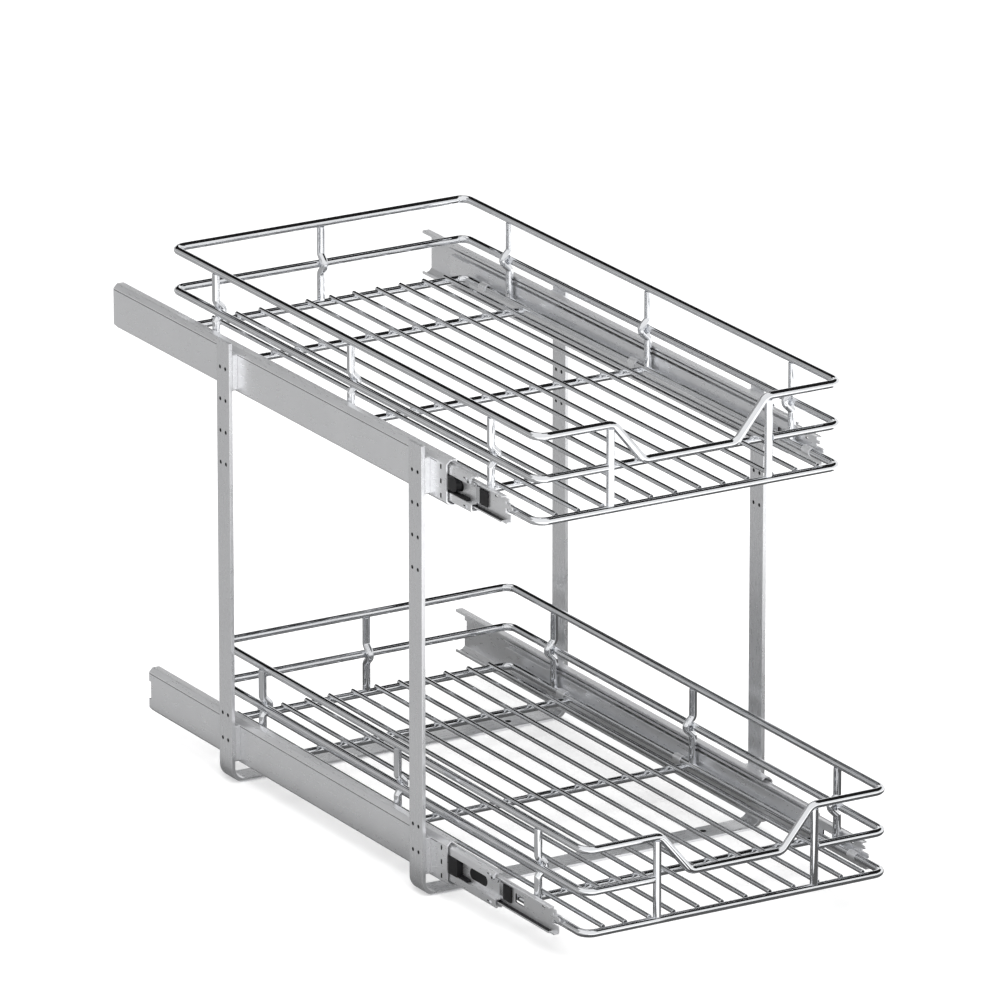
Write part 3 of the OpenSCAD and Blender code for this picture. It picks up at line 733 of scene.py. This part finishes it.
for tier in TIERS:
    for side in SIDES:
        body = f"{tier}_{side}_mid_slide"
        node = f"{tier}_{side}_mid_rail"
        low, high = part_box(node)
        length = (high.y - low.y) / MM
        place = slide_place(tier, side, low.y)
        face = across(place)

        latch_hole = stadium(LATCH_BACK, 0, LATCH_L + 2 * LATCH_GAP, LATCH_H + 2 * LATCH_GAP)
        cuts = [(latch_hole, *through(MID_WEB_U, MID_T), face)]
        cuts += [(stadium(DIMPLE_BACK, v, DIMPLE_L, DIMPLE_H), *through(MID_U, MID_T), face)
                 for v in (DIMPLE_V, -DIMPLE_V)]
        rail = shaped(f"{node}_channel", [(mid_section(), 0, length, place)], cuts, zinc, SHEET_EDGE)

        studs = [(rounded([(LUG_FRONT, v - LUG_DOWN, LUG_R), (LUG_REAR, v - LUG_DOWN, LUG_R),
                           (LUG_REAR, v + LUG_UP, LUG_R)]), LUG_U, MID_U + STUD_SINK, face)
                 for v in (DIMPLE_V, -DIMPLE_V)]
        rivet = circle(RIVET_BACK, RIVET_V, RIVET_R, RIVET_SIDES)
        studs.append((rivet, LUG_U, MID_U + STUD_SINK, face))
        rivet_hole = (circle(RIVET_BACK, RIVET_V, RIVET_HOLE_R, RIVET_HOLE_SIDES),
                      LUG_U - MARGIN, LUG_U + RIVET_HOLE_DEEP, face)
        studs_piece = shaped(f"{node}_studs", studs, [rivet_hole], bright, STUD_EDGE)
        dressed(studs_piece, body, "bright_steel")

        plate = box_outline(-CLIP_L, CLIP_LAP, -CLIP_HALF, CLIP_HALF, MID_EDGE_R)
        ear = box_outline(-CLIP_L, EAR_LAP, EAR_LOW, EAR_HIGH, EAR_R)
        clip = shaped(f"{node}_clip", [(plate, MID_WEB_U, MID_WEB_U + CLIP_T, face),
                                       (ear, MID_U, MID_U + MID_T, face)], [], bright, SHEET_EDGE)
        dressed(clip, body, "bright_steel")
        dressed(rail, body, "zinc_slide", node)

# Inner rails --------------------------------------------------------------------
# Shallow channels that run on balls inside the middle rails. Each has a window and a
# slit, ends in four formed fingers at its front, and carries one side of a basket. A
# thin dark strip of painted shade lies in the fold of its lower ledge.
INNER_U = 4.4
INNER_HALF = 10.05
INNER_WEB_U = 8
INNER_T = 1.1
INNER_EDGE_R = 0.5
WINDOW_BACK = 47
WINDOW_L = 12
WINDOW_H = 7
WINDOW_CORNER_R = 0.8
# The slit's two ends along the rail, and its low and high v
SLIT = (11, 15, 5.2, 6.4)
SLIT_CORNER_R = 0.4
TAB_L = 9
FINGER_LAP = 0.3
# Each finger's length as a share of the longest, its low and high v, and its corner radius
WEB_FINGERS = ((1, 0, 3.6, 1.6), (0.45, 5.4, 8.2, 1.2), (0.8, -8.6, -3.4, 0.5))
FLANGE_FINGER = (0.7, -9.6, -8.4, 0.3)
FLANGE_FINGER_U = 5
SHADE_STRIP_SINK = 0.05
SHADE_STRIP_RISE = 0.12
SHADE_STRIP_INSET = 0.3
SHADE_STRIP_LAP = 0.1
SHADE_STRIP_EDGE = 0.02 * MM


def inner_section():
    inside_v = INNER_HALF - INNER_T
    return both_ways([
        (INNER_WEB_U, inside_v, 0), (INNER_U, inside_v, 0), (INNER_U, INNER_HALF, 0),
        *reversed(groove(BALL_U, INNER_BALL_V, INNER_GROOVE_R, INNER_HALF)),
        (INNER_WEB_U + INNER_T, INNER_HALF, INNER_EDGE_R)])


def finger_outline(share, low, high, radius):
    return box_outline(-share * TAB_L, FINGER_LAP, low, high, radius)


for tier in TIERS:
    for side in SIDES:
        body = f"{tier}_basket"
        node = f"{tier}_{side}_inner_rail"
        low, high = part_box(node)
        length = (high.y - low.y) / MM - TAB_L
        place = slide_place(tier, side, low.y + TAB_L * MM)
        face = across(place)

        window = box_about(WINDOW_BACK, 0, WINDOW_L, WINDOW_H, WINDOW_CORNER_R)
        cuts = [(outline, *through(INNER_WEB_U, INNER_T), face)
                for outline in (window, box_outline(*SLIT, SLIT_CORNER_R))]
        rail = shaped(f"{node}_channel", [(inner_section(), 0, length, place)], cuts, zinc, SHEET_EDGE)

        web_back = INNER_WEB_U + INNER_T
        fingers = [(finger_outline(*finger), INNER_WEB_U, web_back, face) for finger in WEB_FINGERS]
        fingers.append((finger_outline(*FLANGE_FINGER), FLANGE_FINGER_U, web_back, face))
        fingers_piece = shaped(f"{node}_fingers", fingers, [], zinc, SHEET_EDGE)

        # A thin dark strip laid in the fold of the lower ledge paints the shade there.
        ledge_v = INNER_T - INNER_HALF
        line = box_outline(MARGIN, length - MARGIN, ledge_v - SHADE_STRIP_SINK, ledge_v + SHADE_STRIP_RISE)
        ledge_shade_strip = shaped(f"{node}_ledge_painted_shade",
                        [(line, INNER_U + SHADE_STRIP_INSET, INNER_WEB_U + SHADE_STRIP_LAP, face)],
                        [], painted_shade_wall, SHADE_STRIP_EDGE)
        dressed(rail, body, "zinc_slide", node)
        dressed(ledge_shade_strip, body, "zinc_slide")
        dressed(fingers_piece, body, "zinc_slide")

# Front stops --------------------------------------------------------------------
# Black plastic, moulded in one piece with a ribbed tongue. A stop is pressed into the
# front of each outer rail and fits the recess of the middle one. The upper slides'
# stops have a rounder nose.
STOP_AHEAD = 12.8
STOP_INSIDE = 15
STOP_HALF = 6.7
STOP_U = 6.2
STOP_CORNER_R = 0.5
NOSE_R = {"upper": 5.2, "lower": 1.6}
BLOCK_RISE = {"upper": 2.4, "lower": 0}
FOOT_LAP = 0.5
FOOT_IN = 0.2
FOOT_RISE = 0.1
TONGUE_AHEAD = 25
TONGUE_U = 2.5
TONGUE_T = 1
TONGUE_CORNER_R = 0.3
RIB_STEP = 1.6
RIB_H = 0.9
RIB_SINK = 0.1
RIB_CORNER_R = 0.1
RIB_IN = 0.3
STOP_EDGE = 0.35 * MM


def moulded(name, colour, roughness):
    """Moulded plastic with the fine bite of its mould."""
    material, tree = new_material(name)
    shader = tree.nodes["Principled BSDF"]
    shader.inputs["Base Color"].default_value = (*colour, 1)
    shader.inputs["Specular IOR Level"].default_value = 0.25
    marked = add_node(tree, "ShaderNodeGroup", {"Grain Scale": 2500}, node_tree=marks)
    polish = add_node(tree, "ShaderNodeMapRange", {"Value": marked.outputs["Cloud"],
                                                   "To Min": roughness[0], "To Max": roughness[1]})
    tree.links.new(polish.outputs["Result"], shader.inputs["Roughness"])
    bump = add_node(tree, "ShaderNodeBump", {"Height": marked.outputs["Grain"], "Strength": 0.4,
                                             "Distance": 0.02 * MM})
    tree.links.new(bump.outputs["Normal"], shader.inputs["Normal"])
    return material


plastic = moulded("black_plastic", (0.010, 0.010, 0.011), (0.34, 0.5))
tongue_top = TONGUE_T - STOP_HALF
for tier in TIERS:
    nose = NOSE_R[tier]
    block_low = -STOP_HALF + BLOCK_RISE[tier]
    block = rounded([(-STOP_AHEAD, block_low, nose), (STOP_INSIDE, block_low, STOP_CORNER_R),
                     (STOP_INSIDE, STOP_HALF, STOP_CORNER_R), (-STOP_AHEAD, STOP_HALF, nose)],
                    steps=8)
    foot = box_outline(-FOOT_LAP, STOP_INSIDE - FOOT_IN, FOOT_RISE - STOP_HALF, 0)
    tongue = box_outline(-TONGUE_AHEAD, 0, -STOP_HALF, tongue_top, TONGUE_CORNER_R)
    solids = []
    for side in SIDES:
        face = across(slide_place(tier, side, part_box(f"{tier}_{side}_outer_rail")[0].y))
        solids.append((block, OUTER_T, STOP_U, face))
        solids.append((foot, OUTER_T + FOOT_IN, STOP_U - FOOT_IN, face))
        solids.append((tongue, TONGUE_U, STOP_U, face))
        for i in range(int((TONGUE_AHEAD - STOP_AHEAD) / RIB_STEP)):
            y = RIB_STEP / 2 - TONGUE_AHEAD + i * RIB_STEP
            rib = box_outline(y, y + RIB_STEP / 2, tongue_top - RIB_SINK, tongue_top + RIB_H,
                              RIB_CORNER_R)
            solids.append((rib, TONGUE_U + RIB_IN, STOP_U - RIB_IN, face))
    stops = shaped(f"{tier}_front_stop_blocks", solids, [], plastic, STOP_EDGE)
    dressed(stops, "frame", "black_plastic", f"{tier}_front_stops")

# Bumpers ------------------------------------------------------------------------
# A block of the same black plastic ahead of each middle rail, with the rail's clip
# between the two.
BUMPER_CORNER_R = 0.8 * MM
BUMPER_EDGE = 0.4 * MM
for tier in TIERS:
    for side in SIDES:
        node = f"{tier}_{side}_bumper"
        low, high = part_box(node)
        outline = box_outline(low.y, high.y - CLIP_L * MM, low.z, high.z, BUMPER_CORNER_R)
        bumper = shaped(f"{node}_block", [(outline, low.x, high.x, along_x)], [], plastic, BUMPER_EDGE)
        dressed(bumper, f"{tier}_{side}_mid_slide", "black_plastic", node)

# Hooks --------------------------------------------------------------------------
# Zinc plated clips, three along each inner rail and welded to it. Each wraps the bottom
# rim's wire, with a short plate under it and one over it.
HOOK_WALL = 1.2 * MM
HOOK_L = 10 * MM
HOOK_FOOT = 3.6 * MM
# How far behind the front rim each hook's middle is, in millimetres
HOOK_BACKS = {"upper": (42, 287, 507), "lower": (42, 287, 457)}
HOOK_MOUTH = 20
HOOK_GAP = 0.1 * MM
HOOK_EDGE = 0.2 * MM


def ring(x, z, inner, outer, way, mouth, steps=24):
    """A ring that is open by mouth degrees on the side that way points to."""
    turns = [math.radians(mouth / 2 + (360 - mouth) * i / steps) for i in range(steps + 1)]
    outside = [Vector((x + way * outer * math.cos(t), z + outer * math.sin(t))) for t in turns]
    inside = [Vector((x + way * inner * math.cos(t), z + inner * math.sin(t))) for t in reversed(turns)]
    return outside + inside


for tier, at in places.items():
    solids = []
    for side, way in (("left", -1), ("right", 1)):
        face_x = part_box(f"{tier}_{side}_outer_rail")[0 if side == "left" else 1].x
        web_x = face_x - way * (INNER_WEB_U + INNER_T) * MM
        rim_x = way * at["half_w"]
        outer_r = min(RIM_R + HOOK_WALL, abs(web_x - rim_x))
        loop = ring(rim_x, at["bottom"], RIM_R, outer_r, way, HOOK_MOUTH)
        near, far = sorted((web_x, rim_x + way * (RIM_R + HOOK_GAP)))
        for back in HOOK_BACKS[tier]:
            start = at["front"] + back * MM - HOOK_L / 2
            end = start + HOOK_L
            solids.append((loop, start, end, along_y))
            for height in (-HOOK_FOOT, HOOK_FOOT - HOOK_WALL):
                base = at["bottom"] + height
                solids.append((box_outline(near, far, base, base + HOOK_WALL), start, end, along_y))
    hooks = shaped(f"{tier}_hook_clips", solids, [], zinc, HOOK_EDGE)
    dressed(hooks, f"{tier}_basket", "zinc_slide", f"{tier}_rim_hooks")

# Balls and cages ----------------------------------------------------------------
# The cages are punched from thin blackened strip and the balls are polished. Both stay
# as the model has them, and so do the screws and the latches.
cage_steel = metal("cage_steel", (0.05, 0.05, 0.053), (0.09, 0.09, 0.095), (0.35, 0.5),
                   stretch=(1, 0.2, 1), grain_scale=900, cloud_scale=30, grain_depth=0.005 * MM)
for name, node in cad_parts.items():
    if node.hide_render:
        continue
    if name.endswith("latch"):
        finish = plastic
    elif name.endswith(("balls", "rail_screws")):
        finish = bright
    else:
        finish = cage_steel
    node.data.materials.clear()
    node.data.materials.append(finish)

# Studio -------------------------------------------------------------------------
# A wide pale floor, a soft white sky and three large lamps that aren't mirrored in the
# metal. Grey cards that only polished surfaces see give the chrome its dark lines.
FLOOR_HALF = 30
SKY_LIGHT = 0.55
FLOOR_GLOW = 0.35
AIM = Vector((0, -0.05, 0.19))


def seen_directly(tree):
    """1 for rays that show a surface to the camera, straight or by mirror or glass."""
    rays = add_node(tree, "ShaderNodeLightPath").outputs
    seen = add_node(tree, "ShaderNodeMath", {0: rays["Is Camera Ray"], 1: rays["Is Glossy Ray"]},
                    operation="MAXIMUM")
    seen = add_node(tree, "ShaderNodeMath", {0: seen.outputs["Value"], 1: rays["Is Transmission Ray"]},
                    operation="MAXIMUM")
    return seen.outputs["Value"]


world = bpy.data.worlds.new("studio")
bpy.context.scene.world = world
world.use_nodes = True
sky = world.node_tree
sky.nodes.clear()
soft = add_node(sky, "ShaderNodeBackground", {"Color": (1, 1, 1, 1), "Strength": SKY_LIGHT})
white = add_node(sky, "ShaderNodeBackground", {"Color": (1, 1, 1, 1), "Strength": 1.0})
mixed = add_node(sky, "ShaderNodeMixShader", {0: seen_directly(sky), 1: soft.outputs["Background"],
                                              2: white.outputs["Background"]})
add_node(sky, "ShaderNodeOutputWorld", {"Surface": mixed.outputs["Shader"]})

paint, tree = new_material("floor_paint")
tree.nodes.clear()
matt = add_node(tree, "ShaderNodeBsdfDiffuse", {"Color": (0.8, 0.8, 0.8, 1)})
glow = add_node(tree, "ShaderNodeEmission", {"Color": (1, 1, 1, 1), "Strength": FLOOR_GLOW})
dark = add_node(tree, "ShaderNodeEmission", {"Color": (0, 0, 0, 1), "Strength": 0.0})
lift = add_node(tree, "ShaderNodeMixShader", {0: seen_directly(tree), 1: dark.outputs["Emission"],
                                              2: glow.outputs["Emission"]})
both = add_node(tree, "ShaderNodeAddShader", {0: matt.outputs["BSDF"], 1: lift.outputs["Shader"]})
add_node(tree, "ShaderNodeOutputMaterial", {"Surface": both.outputs["Shader"]})

floor_mesh = bpy.data.meshes.new("studio_floor")
floor_mesh.from_pydata([(x, y, 0) for x, y in box_about(0, 0, 2 * FLOOR_HALF, 2 * FLOOR_HALF)],
                       [], [(0, 1, 2, 3)])
floor_mesh.materials.append(paint)
floor = new_piece("studio_floor", floor_mesh)


def compass(azimuth, elevation):
    """A direction from its bearing, which is 0 along +Y and 90 along +X, and its height."""
    a, e = math.radians(azimuth), math.radians(elevation)
    return Vector((math.sin(a) * math.cos(e), math.cos(a) * math.cos(e), math.sin(e)))


def lamp(name, azimuth, elevation, distance, size, power):
    """A square soft lamp that looks at the object and isn't mirrored in it."""
    data = bpy.data.lights.new(name, "AREA")
    data.size = size
    data.energy = power
    light = bpy.data.objects.new(name, data)
    light.location = AIM + distance * compass(azimuth, elevation)
    light.rotation_euler = (AIM - light.location).to_track_quat("-Z", "Y").to_euler()
    light.visible_glossy = False
    bpy.context.scene.collection.objects.link(light)


lamp("key_lamp", azimuth=-150, elevation=50, distance=3.0, size=2.0, power=60)
lamp("fill_lamp", azimuth=120, elevation=35, distance=3.0, size=2.0, power=25)
lamp("rear_lamp", azimuth=20, elevation=60, distance=3.0, size=1.5, power=30)


def flag(name, corners, faces, brightness):
    """A grey card that only polished surfaces see."""
    mesh = bpy.data.meshes.new(name)
    mesh.from_pydata(corners, [], faces)
    card = new_piece(name, mesh)
    grey, tree = new_material(name)
    tree.nodes.clear()
    shade = add_node(tree, "ShaderNodeEmission", {"Color": (1, 1, 1, 1), "Strength": brightness})
    add_node(tree, "ShaderNodeOutputMaterial", {"Surface": shade.outputs["Emission"]})
    mesh.materials.append(grey)
    card.visible_camera = False
    card.visible_diffuse = False
    card.visible_shadow = False
    card.visible_transmission = False


def standing_flag(name, azimuths, elevations, distance, brightness, steps=8):
    """A bent flag that fills a window of bearings and heights."""
    start, end = azimuths
    turns = [start + (end - start) * i / steps for i in range(steps + 1)]
    corners = [AIM + distance * compass(turn, height) for turn in turns for height in elevations]
    strips = [(2 * i, 2 * i + 2, 2 * i + 3, 2 * i + 1) for i in range(steps)]
    flag(name, corners, strips, brightness)


def lying_flag(name, outline, height, brightness):
    """A flag that lies just over the floor."""
    flag(name, [(x, y, height) for x, y in outline], [tuple(range(len(outline)))], brightness)


standing_flag("rear_flag", azimuths=(-20, 33), elevations=(16, 46), distance=6, brightness=0.01)
standing_flag("high_flag", azimuths=(30, 144), elevations=(26, 69), distance=9, brightness=0.015)
standing_flag("left_flag", azimuths=(-75, 9), elevations=(2, 46), distance=7, brightness=0.44)
lying_flag("left_floor_flag", [(-4, -0.45), (-0.2, -0.45), (0.17, 0.36), (2.4, 4.2), (-4, 4.2)],
           height=1 * MM, brightness=0.42)
lying_flag("under_flag", [(-0.19, -0.42), (-0.02, -0.42), (0.06, -0.60), (0.45, -0.60),
                          (0.45, 0.36), (-0.16, 0.36)], height=2 * MM, brightness=0.12)

# Camera -------------------------------------------------------------------------
# At the photograph's viewpoint, far off and looking down a little, as a 412 mm lens on
# a 36 mm frame.
LENS_MM = 412.04
CAMERA_PLACE = (-4.1211, -6.9682, 2.9344)
LOOK_DOWN = 18.411
LOOK_RIGHT = 30.652

camera_data = bpy.data.cameras.new("camera")
camera_data.lens = LENS_MM
camera_data.sensor_width = 36
camera_data.clip_end = 100
camera = bpy.data.objects.new("camera", camera_data)
camera.location = CAMERA_PLACE
camera.rotation_euler = (math.radians(90 - LOOK_DOWN), 0, math.radians(-LOOK_RIGHT))
bpy.context.scene.collection.objects.link(camera)
bpy.context.scene.camera = camera
bpy.context.scene.view_settings.view_transform = "Standard"
